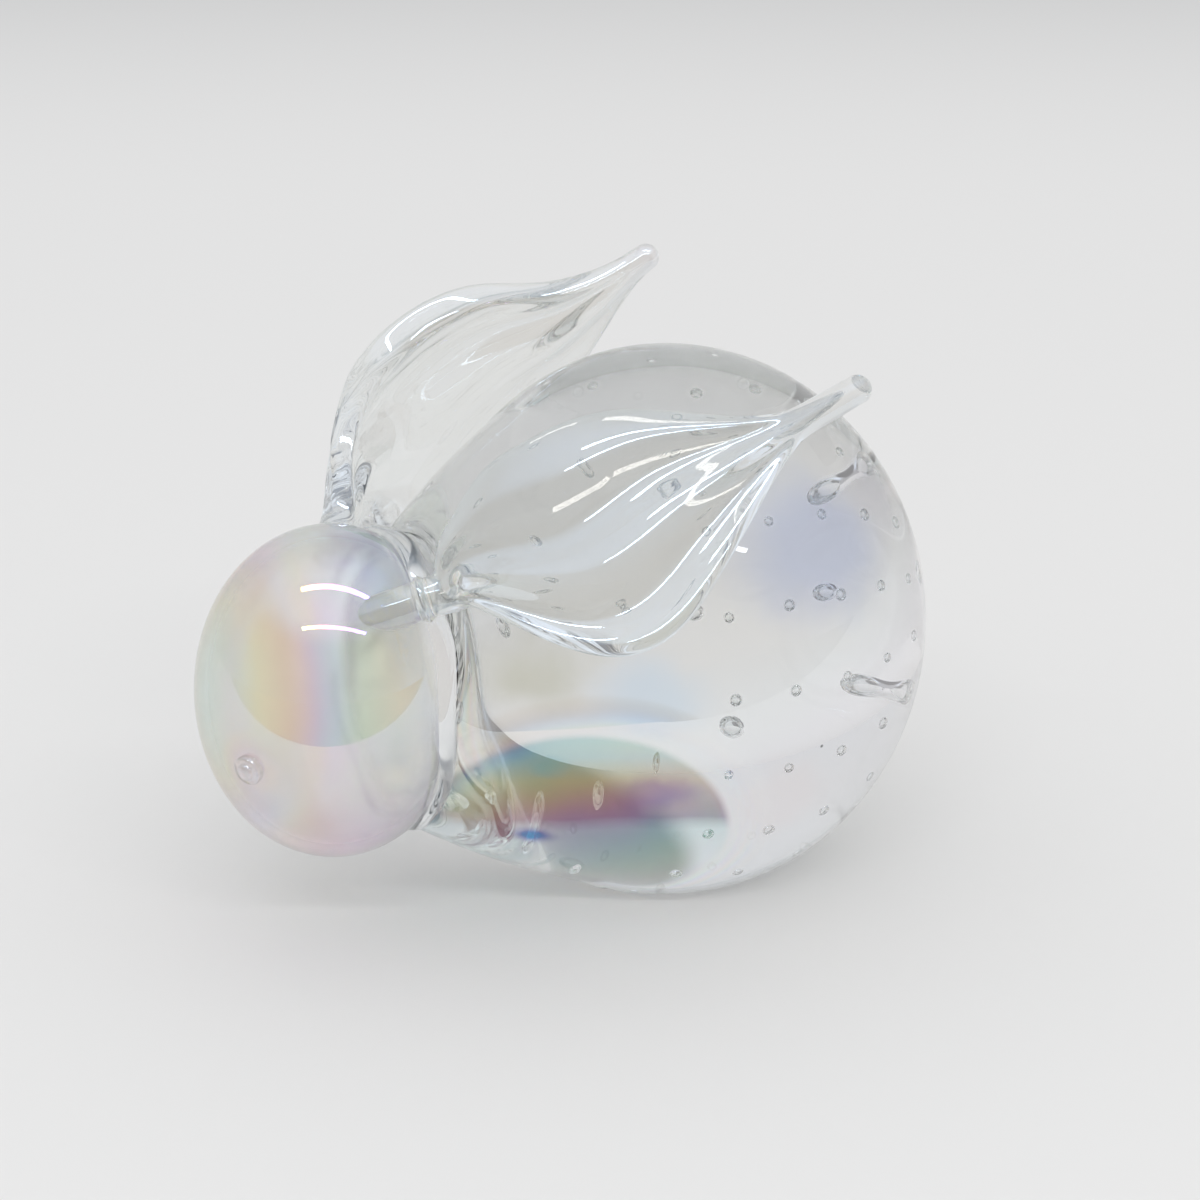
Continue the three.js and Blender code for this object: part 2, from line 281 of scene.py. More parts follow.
@dataclass
class Skin:
    """A closed surface of rings, each ring a row of points, capped by one point at both ends.

    Attributes:
        rings: Points as rows, columns and coordinates.
        first: Point that closes the first ring.
        last: Point that closes the last ring.
        bands: Finish of each band of faces, from the first cap to the last.
    """

    rings: np.ndarray
    first: np.ndarray
    last: np.ndarray
    bands: np.ndarray

    @classmethod
    def of(cls, rings: np.ndarray, first: np.ndarray, last: np.ndarray, welded: int = 0) -> "Skin":
        """Returns a skin of glass whose last bands are fused, as many of them as welded says."""
        bands = np.full(len(rings) + 1, Band.GLASS.value)
        bands[len(bands) - welded:] = Band.WELD.value
        return cls(rings, first, last, bands)

    def sheet(self, outward: bool = True) -> Sheet:
        """Lists the faces, four corners between rings and three at the caps.

        Args:
            outward: Whether they face out of the space inside.

        Returns:
            The faces over their points.
        """
        rows, columns = self.rings.shape[:2]
        quads = grid_faces(rows, columns)[: (rows - 1) * columns]
        around = np.arange(columns)
        onward = (around + 1) % columns
        start, end = rows * columns, rows * columns + 1
        bottom = (rows - 1) * columns
        first_fan = np.stack([np.full(columns, start), around, onward], axis=1)
        last_fan = np.stack([np.full(columns, end), bottom + onward, bottom + around], axis=1)
        return Sheet(
            np.vstack([self.rings.reshape(-1, 3), self.first, self.last]),
            quads,
            np.vstack([first_fan, last_fan]),
            np.repeat(self.bands[1:-1], columns),
            np.repeat(self.bands[[0, -1]], columns),
        ).facing(outward)


def grid_faces(rows: int, columns: int) -> np.ndarray:
    """Lists the four-sided faces of a grid that closes on itself both ways, row by row."""
    row, column = np.meshgrid(np.arange(rows), np.arange(columns), indexing="ij")
    onward, beside = (row + 1) % rows, (column + 1) % columns
    here, below = row * columns, onward * columns
    corners = [here + column, below + column, below + beside, here + beside]
    return np.stack(corners, axis=-1).reshape(-1, 4)


def place(mesh: bpy.types.Mesh, finishes: Finishes, nodes: Sequence[str]) -> bpy.types.Object:
    """Makes a mesh a piece of the figurine.

    Args:
        mesh: Finished mesh, named as the piece, with bands as material indices.
        finishes: Material of each band that the mesh has.
        nodes: CAD nodes that the piece stands for.

    Returns:
        The piece, riding on the figurine's body.
    """
    bands = np.empty(len(mesh.polygons), dtype=np.int32)
    mesh.polygons.foreach_get("material_index", bands)
    used, index = np.unique(bands, return_inverse=True)
    for band in used:
        mesh.materials.append(finishes[Band(int(band))])
    mesh.polygons.foreach_set("material_index", index.astype(np.int32).ravel())
    piece = bpy.data.objects.new(mesh.name, mesh)
    bpy.context.scene.collection.objects.link(piece)
    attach(piece, BODY_NAME)
    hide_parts(*nodes)
    LOG.info("%s: %d vertices, %d faces", mesh.name, len(mesh.vertices), len(mesh.polygons))
    return piece


# Finishes


@dataclass
class Graph:
    """Builds the nodes of one material."""

    tree: bpy.types.NodeTree

    @classmethod
    def of(cls, owner: bpy.types.Material | bpy.types.World) -> "Graph":
        """Returns an empty graph for a material or a world."""
        owner.use_nodes = True
        owner.node_tree.nodes.clear()
        return cls(owner.node_tree)

    def add(self, kind: str, inputs: Inputs | None = None, **settings: object) -> bpy.types.Node:
        """Adds a node.

        Args:
            kind: Blender's name of the node type.
            inputs: Values or sockets for its inputs.
            settings: Values for its own settings.

        Returns:
            The node.
        """
        node = self.tree.nodes.new(kind)
        for key, value in settings.items():
            setattr(node, key, value)
        for key, value in (inputs or {}).items():
            shown = [socket for socket in node.inputs if socket.enabled and socket.name == key]
            target = shown[0] if shown else node.inputs[key]
            if isinstance(value, Socket):
                self.tree.links.new(value, target)
            else:
                target.default_value = value
        return node

    def vector(self, operation: str, first: object, second: object = (0, 0, 0)) -> Socket:
        """Adds a vector sum and returns its result, a number where the operation gives one."""
        node = self.add("ShaderNodeVectorMath", {0: first, 1: second}, operation=operation)
        return next(socket for socket in node.outputs if socket.enabled)

    def sum(self, operation: str, first: object, second: object, third: float = 0.0) -> Socket:
        """Adds a sum of numbers and returns its result."""
        node = self.add("ShaderNodeMath", {0: first, 1: second, 2: third}, operation=operation)
        return node.outputs["Value"]

    def fade(self, value: Socket, start: float, end: float) -> Socket:
        """Adds a smooth step that is 0 at start and 1 at end, and returns it."""
        inputs = {"Value": value, "From Min": start, "From Max": end}
        return self.add("ShaderNodeMapRange", inputs, interpolation_type="SMOOTHSTEP").outputs["Result"]

    def mix(self, share: object, start: object, end: object) -> Socket:
        """Adds a mix of two colours and returns it."""
        node = self.add("ShaderNodeMix", {"Factor": share, "A": start, "B": end}, data_type="RGBA")
        return next(socket for socket in node.outputs if socket.enabled)

    def ramp(self, factor: Socket, stops: Sequence[Stop]) -> Socket:
        """Adds a colour ramp.

        Args:
            factor: Socket that runs along the ramp.
            stops: Positions and colours, at least two.

        Returns:
            The ramp's colour.
        """
        node = self.add("ShaderNodeValToRGB", {"Fac": factor})
        elements = node.color_ramp.elements
        while len(elements) < len(stops):
            elements.new(1.0)
        for element, (position, colour) in zip(elements, stops):
            element.position = position
            element.color = (*colour, 1.0)
        return node.outputs["Color"]


@dataclass(frozen=True)
class Run:
    """A straight run through a piece, along which its finish changes.

    Attributes:
        start: Point where the run counts 0.
        end: Point where it counts 1.
    """

    start: Point
    end: Point

    def share(self, graph: Graph, spot: Socket) -> Socket:
        """Returns a spot's place on the run: its offset dotted with the run, over the run's square."""
        way = np.subtract(self.end, self.start)
        offset = graph.vector("SUBTRACT", spot, self.start)
        return graph.vector("DOT_PRODUCT", offset, tuple(way / (way @ way)))


@dataclass(frozen=True)
class Oval:
    """A region with a soft edge.

    Attributes:
        centre: Its middle.
        half: Its half lengths along X, Y and Z.
        core: Share of the half lengths within which it covers fully.
        ragged: How far noise moves its outline.
    """

    centre: Point
    half: Point
    core: float = 0.3
    ragged: float = 0.0

    def cover(self, graph: Graph, spot: Socket) -> Socket:
        """Returns how far the oval covers a spot.

        The cover is 1 within the core and falls smoothly to 0 where the offset from the centre, divided by
        the half lengths, has length 1.

        Args:
            graph: Graph of the material.
            spot: Socket of the place on the piece.

        Returns:
            Socket of the cover.
        """
        if self.ragged:
            noise = graph.add("ShaderNodeTexNoise", {"Vector": spot, **FRAY_NOISE})
            stray = graph.vector("SUBTRACT", noise.outputs["Color"], NOISE_MIDDLE)
            spot = graph.vector("ADD", spot, graph.vector("MULTIPLY", stray, (2 * self.ragged,) * 3))
        offset = graph.vector("SUBTRACT", spot, self.centre)
        away = graph.vector("LENGTH", graph.vector("DIVIDE", offset, self.half))
        return graph.fade(away, 1.0, self.core)


@dataclass(frozen=True)
class Patch(Oval):
    """An oval of another tone.

    Attributes:
        tone: Its colour.
    """

    tone: Colour = field(kw_only=True)


@dataclass(frozen=True)
class Leaf:
    """A leaf-shaped window of other tones: iridescent film colours darkened with painted shade.

    Attributes:
        oval: Its outline.
        run: Run that its tones follow.
        tints: Its tones along the run.
    """

    oval: Oval
    run: Run
    tints: tuple[Stop, ...]


@dataclass(frozen=True)
class Pull:
    """A place that the film's colours crowd round.

    Attributes:
        centre: Its middle.
        radius: How far it reaches.
        amount: How far along the run it shifts the film in its middle.
    """

    centre: Point
    radius: float
    amount: float

    def shift(self, graph: Graph, spot: Socket) -> Socket:
        """Returns the shift at a spot."""
        away = graph.vector("DISTANCE", spot, self.centre)
        return graph.sum("MULTIPLY", graph.fade(away, self.radius, 0.0), self.amount)


@dataclass(frozen=True)
class Glass:
    """Fire-polished or ground glass, clear or with a pearly film.

    Attributes:
        name: Name of the material.
        run: Run that tints and film follow.
        tints: Colours along the run that light takes on as it passes.
        film: Thickness of the film along the run in nanometres, none where empty.
        waver: How far soft noise shifts the run.
        leaf: Leaf-shaped window of iridescent tones darkened with painted shade.
        patches: Places of another tone, some of them painted light and shade.
        pulls: Places that the film's colours crowd round.
        film_oval: Region that the film keeps to, all over where there is none.
        roughness: Roughness of the surface.
        clearness: Share of the light that passes into the glass and isn't scattered white.
        index: Refractive index of the glass.
        film_index: Refractive index of the film.
    """

    name: str
    run: Run
    tints: tuple[Stop, ...]
    film: tuple[FilmStop, ...] = ()
    waver: float = 0.03
    leaf: Leaf | None = None
    patches: tuple[Patch, ...] = ()
    pulls: tuple[Pull, ...] = ()
    film_oval: Oval | None = None
    roughness: float = 0.0
    clearness: float = 1.0
    index: float = 1.5
    film_index: float = 2.0

    def tint(self, graph: Graph, spot: Socket, share: Socket, drift: Socket) -> Socket:
        """Lays the leaf and the patches over the tints of the run.

        Args:
            graph: Graph of the material.
            spot: Socket of the place on the piece.
            share: Socket of the place on the run.
            drift: Socket of the shift by soft noise.

        Returns:
            Socket of the colour.
        """
        colour = graph.ramp(share, self.tints)
        if self.leaf:
            leaf_share = graph.sum("ADD", self.leaf.run.share(graph, spot), drift)
            leaf_tint = graph.ramp(leaf_share, self.leaf.tints)
            colour = graph.mix(self.leaf.oval.cover(graph, spot), colour, leaf_tint)
        for patch in self.patches:
            colour = graph.mix(patch.cover(graph, spot), colour, (*patch.tone, 1.0))
        return colour

    def thickness(self, graph: Graph, spot: Socket, share: Socket) -> Socket:
        """Works out the film along the run, within its oval.

        Args:
            graph: Graph of the material.
            spot: Socket of the place on the piece.
            share: Socket of the place on the run.

        Returns:
            Socket of the film's thickness in nanometres.
        """
        greys = [(position, (nanometres / MOST_FILM,) * 3) for position, nanometres in self.film]
        film = graph.sum("MULTIPLY", graph.ramp(share, greys), MOST_FILM)
        if self.film_oval:
            film = graph.sum("MULTIPLY", film, self.film_oval.cover(graph, spot))
        return film

    def material(self) -> bpy.types.Material:
        """Returns the material with its nodes."""
        material = bpy.data.materials.new(self.name)
        graph = Graph.of(material)
        spot = graph.add("ShaderNodeTexCoord").outputs["Object"]
        noise = graph.add("ShaderNodeTexNoise", {"Vector": spot, **WAVER_NOISE})
        drift = graph.sum("MULTIPLY_ADD", noise.outputs["Fac"], 2 * self.waver, -self.waver)
        share = graph.sum("ADD", self.run.share(graph, spot), drift)
        for pull in self.pulls:
            share = graph.sum("ADD", share, pull.shift(graph, spot))
        shader = graph.add("ShaderNodeBsdfPrincipled", {"Base Color": self.tint(graph, spot, share, drift)})
        shader.inputs["Roughness"].default_value = self.roughness
        shader.inputs["IOR"].default_value = self.index
        shader.inputs["Transmission Weight"].default_value = self.clearness
        if self.film:
            graph.tree.links.new(self.thickness(graph, spot, share), shader.inputs["Thin Film Thickness"])
            shader.inputs["Thin Film IOR"].default_value = self.film_index
        graph.add("ShaderNodeOutputMaterial", {"Surface": shader.outputs["BSDF"]})
        return material


def weld_material() -> bpy.types.Material:
    """Returns the finish of fused faces, which light passes straight through."""
    material = bpy.data.materials.new("weld")
    graph = Graph.of(material)
    clear = graph.add("ShaderNodeBsdfTransparent")
    graph.add("ShaderNodeOutputMaterial", {"Surface": clear.outputs["BSDF"]})
    return material


# Head and nose


@dataclass
class Head:
    """The blown egg of the head with the pip of its nose.

    Attributes:
        weld: How far in front of the ball's middle the weld's rim lies.
        samples: Rings on which the weld's edge is looked for.
        nose_outline: Distances from the nose's axis and heights over the head, in millimetres.
    """

    radius: float = 18 * MM
    half_height: float = 22.4 * MM
    reach: float = 51 * MM
    middle: float = 33 * MM
    weld: float = 42.15 * MM
    wall: float = 1.8 * MM
    rows: int = 150
    around: int = 224
    weld_rows: int = 30
    samples: int = 1200
    nose_samples: int = 200
    nose_around: int = 64
    nose_turn: float = math.radians(28)
    nose_drop: float = math.radians(12)
    nose_outline: tuple[tuple[float, float], ...] = (
        (0.25, 1.55),
        (0.6, 1.5),
        (0.9, 1.38),
        (1.08, 1.2),
        (1.15, 0.98),
        (1.3, 0.9),
        (1.7, 0.95),
        (1.92, 0.8),
        (2.0, 0.5),
        (2.0, -0.8),
    )

    @property
    def centre(self) -> np.ndarray:
        """Middle of the egg."""
        return np.array([0, -self.reach, self.middle])

    @property
    def axes(self) -> np.ndarray:
        """Half lengths of the egg along X, Y and Z."""
        return np.array([self.radius, self.radius, self.half_height])

    def level(self, points: np.ndarray) -> np.ndarray:
        """Returns a number for each point that is below zero inside the egg."""
        return (((points - self.centre) / self.axes) ** 2).sum(axis=-1) - 1

    def weld_rim(self) -> np.ndarray:
        """Returns half width, half height and middle height of the oval where the weld cuts the egg."""
        share = math.sqrt(1 - ((self.reach - self.weld) / self.radius) ** 2)
        return np.array([self.radius * share, self.half_height * share, self.middle])

    def seat(self, turn: float, rise: float) -> tuple[np.ndarray, np.ndarray]:
        """Finds a point on the egg and the way out of it there.

        Args:
            turn: Turn from the back of the head towards the rabbit's left, in radians.
            rise: Rise above the middle, in radians.

        Returns:
            The point and the outward direction.
        """
        sphere = np.array([math.cos(rise) * math.sin(turn), math.cos(rise) * math.cos(turn), math.sin(rise)])
        return self.centre + self.axes * sphere, unit(sphere / self.axes)

    def egg(self, inset: float, angle: np.ndarray, around: int) -> np.ndarray:
        """Works out rings of the egg or of one inside it, by angle from the front and a bearing round it.

        Args:
            inset: How far inside the outer egg it lies.
            angle: Angle of each ring.
            around: Points on each ring.

        Returns:
            The rings.
        """
        bearing = round_turn(around)
        sphere = np.stack(
            [
                np.sin(angle)[:, None] * np.cos(bearing),
                np.broadcast_to(-np.cos(angle)[:, None], (len(angle), around)),
                np.sin(angle)[:, None] * np.sin(bearing),
            ],
            axis=-1,
        )
        return self.centre + (self.axes - inset) * sphere

    def hollow(self) -> Sheet:
        """Returns the bubble blown in the egg, its faces turned into it as glass bounds air there."""
        rings = self.egg(self.wall, np.linspace(0, np.pi, self.rows)[1:-1], self.around)
        depth = np.array([0, self.radius - self.wall, 0])
        skin = Skin.of(rings, self.centre - depth, self.centre + depth)
        skin.bands[:] = Band.HOLLOW.value
        return skin.sheet(outward=False)

    def build(self, finishes: Finishes, collar: "Collar") -> bpy.types.Object:
        """Makes the blown egg, fused to the chest from the collar's edge on.

        Args:
            finishes: Material of each band.
            collar: The skirt round the weld.

        Returns:
            The piece.
        """
        dense = self.egg(0.0, np.linspace(0, np.pi, self.samples)[1:-1], self.around)
        rings = draw_to_edge(dense, collar.level(dense), self.rows, self.weld_rows)
        depth = np.array([0, self.radius, 0])
        skin = Skin.of(rings, self.centre - depth, self.centre + depth, welded=self.weld_rows + 1)
        mesh = skin.sheet().joined(self.hollow()).mesh("glass_head")
        return place(mesh, finishes, ["head"])

    def nose(self, finishes: Finishes) -> bpy.types.Object:
        """Makes the pip of the nose with its button, turned about the way out of the egg.

        Args:
            finishes: Material of each band.

        Returns:
            The piece.
        """
        seat = self.seat(math.pi - self.nose_turn, -self.nose_drop)
        outline = evenly(np.array(self.nose_outline) * MM, self.nose_samples)
        mesh = fused_turning(seat, outline, self.nose_around, self).mesh("glass_nose")
        mesh.set_sharp_from_angle(angle=WELD_CREASE)
        return place(mesh, finishes, ["nose"])


def fused_turning(seat: tuple[np.ndarray, np.ndarray], outline: np.ndarray, around: int, head: Head) -> Sheet:
    """Turns an outline about the outward direction of a seat and fuses its lower end to the head.

    A point is the seat plus height times outward plus distance times a direction that goes round it. A ring
    is drawn where the surface meets the head, and all below it is weld.

    Args:
        seat: Point and outward direction.
        outline: Distance from the axis and height over the seat, from the top down.
        around: Points on each ring.
        head: The head under it.

    Returns:
        The faces.
    """
    point, outward = seat
    side = unit(np.cross(outward, np.array(TURNING_START)))
    other = np.cross(outward, side)
    bearing = round_turn(around)
    direction = np.cos(bearing)[:, None] * side + np.sin(bearing)[:, None] * other
    dense = point + outline[:, 0, None, None] * direction + outline[:, 1, None, None] * outward
    sink = len(SINK_SHARES)
    rings = draw_to_edge(dense, head.level(dense), TURNING_ROWS, sink)
    rings[-sink:] = blend(rings[-sink - 1], point, np.array(SINK_SHARES)[:, None, None])
    return Skin.of(rings, point + outline[0, 1] * outward, point, welded=sink + 1).sheet()


# Collar


@dataclass
class Collar:
    """The skirt of glass squeezed out round the weld of head and body.

    Attributes:
        rim: Half width, half height and middle height of the weld's oval.
        weld: How far in front of the ball's middle the weld lies.
    """

    rim: np.ndarray
    weld: float
    reach: float = 1.8 * MM
    thickness: float = 1.2 * MM
    wave: float = 0.4 * MM
    waves: int = 7
    around: int = 288
    shown: int = 12
    hidden: int = 6
    samples: int = 400

    def drift(self, bearing: np.ndarray) -> np.ndarray:
        """Returns how far the skirt wavers along Y at a bearing from the top."""
        return self.wave * np.sin(self.waves * bearing)

    def level(self, points: np.ndarray) -> np.ndarray:
        """Returns a number for each point that is below zero inside the skirt's oval section."""
        side, height = points[..., 0], (points[..., 2] - self.rim[2]) * self.rim[0] / self.rim[1]
        across = (np.hypot(side, height) - self.rim[0]) / self.thickness
        along = (points[..., 1] + self.weld - self.drift(np.arctan2(side, height))) / self.reach
        return across ** 2 + along ** 2 - 1

    def section(self, angle: np.ndarray) -> np.ndarray:
        """Works out the oval section round the rim.

        Args:
            angle: Angles round the section from its outermost line.

        Returns:
            One row of points round the rim for each angle.
        """
        bearing = round_turn(self.around)
        across = self.rim[0] + self.thickness * np.cos(angle)[:, None]
        return np.stack(
            [
                across * np.sin(bearing),
                -self.weld + self.reach * np.sin(angle)[:, None] + self.drift(bearing),
                self.rim[2] + self.rim[1] / self.rim[0] * across * np.cos(bearing),
            ],
            axis=-1,
        )

    def build(self, finishes: Finishes, head: Head, body: "Body") -> bpy.types.Object:
        """Makes the skirt, with a ring where it sinks into the head and one where it sinks into the chest.

        Args:
            finishes: Material of each band.
            head: The head on one side.
            body: The body on the other.

        Returns:
            The piece.
        """
        half = np.linspace(0, np.pi, self.samples)
        to_head, to_body = self.section(-half), self.section(half)
        headward = draw_to_edge(to_head, head.level(to_head), self.shown, self.hidden)
        bodyward = draw_to_edge(to_body, body.level(to_body), self.shown, self.hidden)
        rings = np.concatenate([headward[:0:-1], bodyward[:-1]])
        quads = grid_faces(len(rings), self.around)
        bands = np.full(len(rings), Band.WELD.value)
        bands[self.hidden:self.hidden + 2 * (self.shown - 1)] = Band.GLASS.value
        sheet = Sheet.of_quads(rings.reshape(-1, 3), quads, np.repeat(bands, self.around))
        mesh = sheet.facing(True).mesh("glass_collar")
        mesh.set_sharp_from_angle(angle=WELD_CREASE)
        return place(mesh, finishes, ["neck_collar"])


# Body


@dataclass
class Body:
    """The ball body with its chest drawn out to cup the head, a ground flat and bubbles trapped inside.

    Attributes:
        rim: Half width, half height and middle height of the weld's oval.
        bubble_spread: Share by which the smallest bubbles are smaller.
        bubble_beat: Angle from one bubble to the next in the wave that their sizes follow.
        crowding: How many times closer than its rows the outline is sampled to find the weld's edge.
        chip_rise: How far a chip cuts upwards for each unit inwards.
        flat_reach: Height under which a face belongs to the flat.
        flat_rings: Sizes of the rings that close the flat, as shares of its rim.
        chips: Flakes broken out of the flat's rim, each as X, Y, radius and depth in millimetres.
    """

    rim: np.ndarray
    radius: float = 36 * MM
    half_height: float = 38.5 * MM
    centre_height: float = 33.5 * MM
    neck_reach: float = 42.15 * MM
    neck_radius: float = 16.5 * MM
    neck_droop: float = 3 * MM
    neck_fit: float = 5 * MM
    chest_bulge: float = 1 * MM
    around: int = 256
    rows: int = 190
    weld_rows: int = 4
    bubble_core: float = 28.5 * MM
    bubble_radius: float = 0.8 * MM
    bubbles_around: int = 18
    bubble_rows: int = 5
    bubble_row_step: float = math.radians(16)
    first_bubble_row: float = math.radians(-14)
    bubble_spread: float = 0.2
    bubble_beat: float = 7.3
    bubble_rings: int = 9
    bubble_sides: int = 14
    level_samples: int = 2000
    crowding: int = 8
    chip_rise: float = 0.6
    flat_reach: float = 0.001 * MM
    flat_rings: tuple[float, ...] = (0.97, 0.85, 0.6, 0.3)
    chips: tuple[tuple[float, float, float, float], ...] = (
        (2.5, -19.6, 2.6, 1.1),
        (7.5, -18.4, 2.0, 0.8),
        (11.0, -16.0, 1.4, 0.5),
        (16.0, 5.2, 2.2, 0.9),
        (14.4, 9.2, 1.5, 0.5),
    )

    @property
    def height_ratio(self) -> float:
        """Height of the ball over its width."""
        return self.half_height / self.radius

    def touch(self) -> float:
        """Returns the angle at which the line from the weld's rim touches the ball's circle."""
        reach = math.hypot(self.neck_radius, self.neck_reach)
        return math.atan2(-self.neck_reach, self.neck_radius) + math.acos(self.radius / reach)

    def outline(self, count: int) -> tuple[np.ndarray, np.ndarray]:
        """Works out the outline as distance from the Y axis against Y.

        From the rump the outline is a circle as far as the line that touches it from the weld's rim, then
        that line, swollen by half a sine wave.

        Args:
            count: Points on it.

        Returns:
            Distances from the axis and places along it, evenly spaced.
        """
        touch = self.touch()
        angle = np.linspace(math.pi / 2, touch, count)
        share = np.linspace(0, 1, count)[1:]
        tangent = self.radius * np.array([math.cos(touch), math.sin(touch)])
        chest_across = blend(tangent[0], self.neck_radius, share) + self.chest_bulge * np.sin(np.pi * share)
        chest_along = blend(tangent[1], -self.neck_reach, share)
        across = np.concatenate([self.radius * np.cos(angle), chest_across])
        along = np.concatenate([self.radius * np.sin(angle), chest_along])
        even = evenly(np.stack([across, along], axis=1), count)
        return even[:, 0], even[:, 1]

    def ovals(self, across: np.ndarray, along: np.ndarray) -> tuple[np.ndarray, np.ndarray, np.ndarray]:
        """Works out the upright ovals that the outline sweeps.

        The ball's ovals droop with the square of their reach, and the last few millimetres are drawn in to
        the oval of the head's weld with a share that grows as a square.

        Args:
            across: Distances of the outline from the axis.
            along: Places along the axis.

        Returns:
            Half width, half height and middle height of each oval.
        """
        near = np.clip(1 - (along + self.neck_reach) / self.neck_fit, 0, 1) ** 2
        forward = np.maximum(0, -along / self.neck_reach)
        share = across / self.neck_radius
        width = blend(across, self.rim[0] * share, near)
        height = blend(self.height_ratio * across, self.rim[1] * share, near)
        middle = blend(self.centre_height - self.neck_droop * forward ** 2, self.rim[2], near)
        return width, height, middle

    def level(self, points: np.ndarray) -> np.ndarray:
        """Returns a number for each point near the chest that is below zero inside the body."""
        across, along = self.outline(self.level_samples)
        here = points[..., 1]
        ovals = self.ovals(across, along)
        width, height, middle = (np.interp(-here, -along, values) for values in ovals)
        inside = np.hypot(points[..., 0] / width, (points[..., 2] - middle) / height) - 1
        return np.where(here < -self.neck_reach, 1.0, inside)

    def skin(self, collar: Collar, head: Head) -> Skin:
        """Sweeps the ovals along the Y axis and closes them with the cup that the head is pressed into.

        Args:
            collar: The skirt round the weld.
            head: The head in the cup.

        Returns:
            The surface, before its flat is ground.
        """
        across, along = self.outline(self.crowding * self.rows)
        width, height, middle = self.ovals(across[1:], along[1:])
        bearing = round_turn(self.around)
        dense = np.stack(
            [
                width[:, None] * np.cos(bearing),
                np.broadcast_to(along[1:, None], (len(width), self.around)),
                middle[:, None] + height[:, None] * np.sin(bearing),
            ],
            axis=-1,
        )
        outer = draw_to_edge(dense, collar.level(dense), self.rows, self.weld_rows)
        lean = math.acos((head.weld - head.reach) / head.radius)
        cup = head.egg(0.0, np.linspace(lean, np.pi, head.weld_rows)[1:-1], self.around)
        rump = np.array([0, self.radius, self.centre_height])
        floor = head.centre + np.array([0, head.radius, 0])
        return Skin.of(np.concatenate([outer, cup]), rump, floor, welded=self.weld_rows + len(cup) + 1)

    def bubbles(self) -> Sheet:
        """Works out the bubbles trapped between the two gathers, in rows about the Y axis.

        Each bubble is a small ball, placed at the core's radius by its row's latitude and its longitude.
        Their sizes differ a little, with the square of a sine of their number.

        Returns:
            Their faces, turned into them as glass bounds air there.
        """
        rows = self.first_bubble_row + self.bubble_row_step * np.arange(self.bubble_rows)
        latitude, longitude = np.meshgrid(rows, round_turn(self.bubbles_around), indexing="ij")
        sphere = np.stack(
            [
                np.cos(latitude) * np.cos(longitude),
                np.sin(latitude),
                self.height_ratio * np.cos(latitude) * np.sin(longitude),
            ],
            axis=-1,
        )
        centres = self.bubble_core * sphere.reshape(-1, 3)
        forward = np.maximum(0, -centres[:, 1] / self.neck_reach)
        centres[:, 2] += self.centre_height - self.neck_droop * forward ** 2
        shrink = self.bubble_spread * np.sin(self.bubble_beat * np.arange(len(centres))) ** 2
        sizes = self.bubble_radius * (1 - shrink)
        rise = np.linspace(-np.pi / 2, np.pi / 2, self.bubble_rings)[1:-1]
        turn = round_turn(self.bubble_sides)
        ball = np.stack(
            [
                np.cos(rise)[:, None] * np.cos(turn),
                np.cos(rise)[:, None] * np.sin(turn),
                np.broadcast_to(np.sin(rise)[:, None], (len(rise), len(turn))),
            ],
            axis=-1,
        )
        skin = Skin.of(ball, np.array([0, 0, -1.0]), np.array([0, 0, 1.0]))
        skin.bands[:] = Band.INSIDE.value
        return skin.sheet(outward=False).copies(centres, sizes)

    def grind(self, mesh: bpy.types.Mesh) -> None:
        """Cuts a mesh off at the floor, closes the cut with ground glass and breaks chips out of its rim.

        A chip pushes the points within its radius inwards, most in its middle and less towards its edge, with
        the square of the distance.

        Args:
            mesh: Mesh of the body.
        """
        solid = bmesh.new()
        solid.from_mesh(mesh)
        every = solid.verts[:] + solid.edges[:] + solid.faces[:]
        bmesh.ops.bisect_plane(solid, geom=every, plane_co=(0, 0, 0), plane_no=(0, 0, -1), clear_outer=True)
        edges = [edge for edge in solid.edges if edge.is_boundary]
        size = 1.0
        for ring in self.flat_rings:
            made = bmesh.ops.extrude_edge_only(solid, edges=edges)["geom"]
            corners = [item for item in made if isinstance(item, bmesh.types.BMVert)]
            bmesh.ops.scale(solid, vec=(ring / size, ring / size, 1), space=Matrix.Identity(4), verts=corners)
            size = ring
            edges = [item for item in made if isinstance(item, bmesh.types.BMEdge) and item.is_boundary]
        bmesh.ops.contextual_create(solid, geom=edges)
        for face in solid.faces:
            if face.calc_center_median().z < self.flat_reach:
                face.material_index = Band.GROUND.value
                face.smooth = False
        outer = [face for face in solid.faces if face.material_index != Band.INSIDE.value]
        bmesh.ops.recalc_face_normals(solid, faces=outer)
        solid.to_mesh(mesh)
        solid.free()
        points = np.empty(3 * len(mesh.vertices), dtype=np.float32)
        mesh.vertices.foreach_get("co", points)
        points = points.reshape(-1, 3)
        for side, along, radius, depth in np.array(self.chips) * MM:
            middle = np.array([side, along, 0.0])
            near = np.clip(1 - (np.linalg.norm(points - middle, axis=1) / radius) ** 2, 0, 1)
            inward = unit(np.array([-side, -along, self.chip_rise * math.hypot(side, along)]))
            points += near[:, None] * depth * inward
        mesh.vertices.foreach_set("co", points.ravel())
        mesh.update()

    def build(self, finishes: Finishes, collar: Collar, head: Head) -> bpy.types.Object:
        """Makes the body.

        Args:
            finishes: Material of each band.
            collar: The skirt round the weld.
            head: The head in the chest's cup.

        Returns:
            The piece.
        """
        mesh = self.skin(collar, head).sheet().joined(self.bubbles()).mesh("glass_body")
        self.grind(mesh)
        mesh.set_sharp_from_angle(angle=FLAT_CREASE)
        return place(mesh, finishes, ["body_core", "body_casing"])


# Ears


